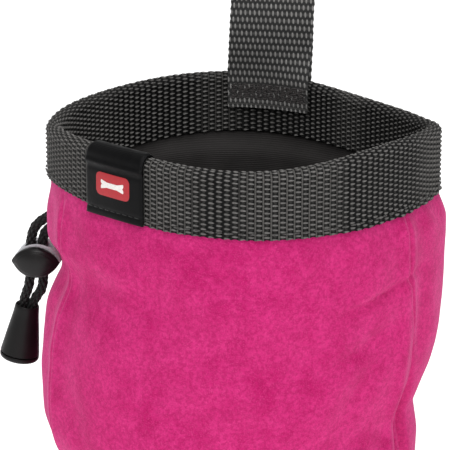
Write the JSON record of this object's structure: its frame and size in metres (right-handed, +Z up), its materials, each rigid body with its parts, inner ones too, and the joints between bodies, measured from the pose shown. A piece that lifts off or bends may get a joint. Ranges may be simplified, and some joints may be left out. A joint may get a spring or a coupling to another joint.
{
  "type": "treat pouch",
  "caption": "Soft round drawstring pouch for dog treats, with a bound rim, a webbing belt loop, and a cord with a spring lock and a bell-shaped cord end.",
  "frame": {"origin": "centre of the underside of the round base", "axes": "+Z up; the belt loop is at the back (+Y), the front is -Y, and the drawstring comes out of a slit at -X"},
  "size_m": [0.1275, 0.1044, 0.1993],
  "materials": {
    "suede": "magenta microfibre suede with a short nap",
    "lining": "black nylon lining",
    "webbing": "grey and black plain-woven webbing",
    "thread": "black polyester thread",
    "label": "black satin-woven tape",
    "label_print_red": "red woven mark",
    "label_print_white": "white woven mark",
    "cord": "black braided polyester cord",
    "lock_black": "black satin moulded plastic",
    "lock_grey": "light grey satin moulded plastic",
    "spring_steel": "spring wire",
    "cord_end": "black satin moulded plastic"
  },
  "bodies": {
    "pouch": {"outer_front_panel": "suede", "outer_back_panel": "suede", "outer_base": "suede", "lining_wall": "lining", "lining_base": "lining", "rim_webbing": "webbing", "rim_stitching": "thread", "label": "label", "strap_inner_end": "webbing", "strap_outer_end": "webbing", "strap_stitching": "thread", "slit_bartacks": "thread", "drawstring_loop": "cord"},
    "belt_loop": {"belt_loop_strap": "webbing"},
    "drawstring_tail": {"drawstring_end_a": "cord", "drawstring_end_b": "cord", "cord_knot": "cord", "cord_end_bell": "cord_end", "cord_end_cap": "cord_end"},
    "cord_lock": {"cord_lock_body": "lock_grey", "cord_lock_spring": "spring_steel"},
    "lock_button": {"cord_lock_button": "lock_black"}
  },
  "joints": [
    {"name": "belt_loop_fold", "type": "hinge", "parent": "pouch", "child": "belt_loop", "pos_m": [0, 0.0482, 0.1412], "axis": [1, 0, 0], "range_deg": [-35, 35], "stiffness_Nm_per_rad": 0.02},
    {"name": "tail_swing", "type": "hinge", "parent": "pouch", "child": "drawstring_tail", "pos_m": [-0.0538, 0, 0.108], "axis": [0, 1, 0], "range_deg": [0, 45]},
    {"name": "cord_lock_slide", "type": "slide", "parent": "drawstring_tail", "child": "cord_lock", "axis": [0, 0, 1], "range_m": [-0.0015, 0.0025]},
    {"name": "lock_button_press", "type": "slide", "parent": "cord_lock", "child": "lock_button", "axis": [0, 1, 0], "range_m": [0, 0.0015], "stiffness_N_per_m": 900, "springref_m": -0.001, "deforming": ["cord_lock_spring"]}
  ]
}
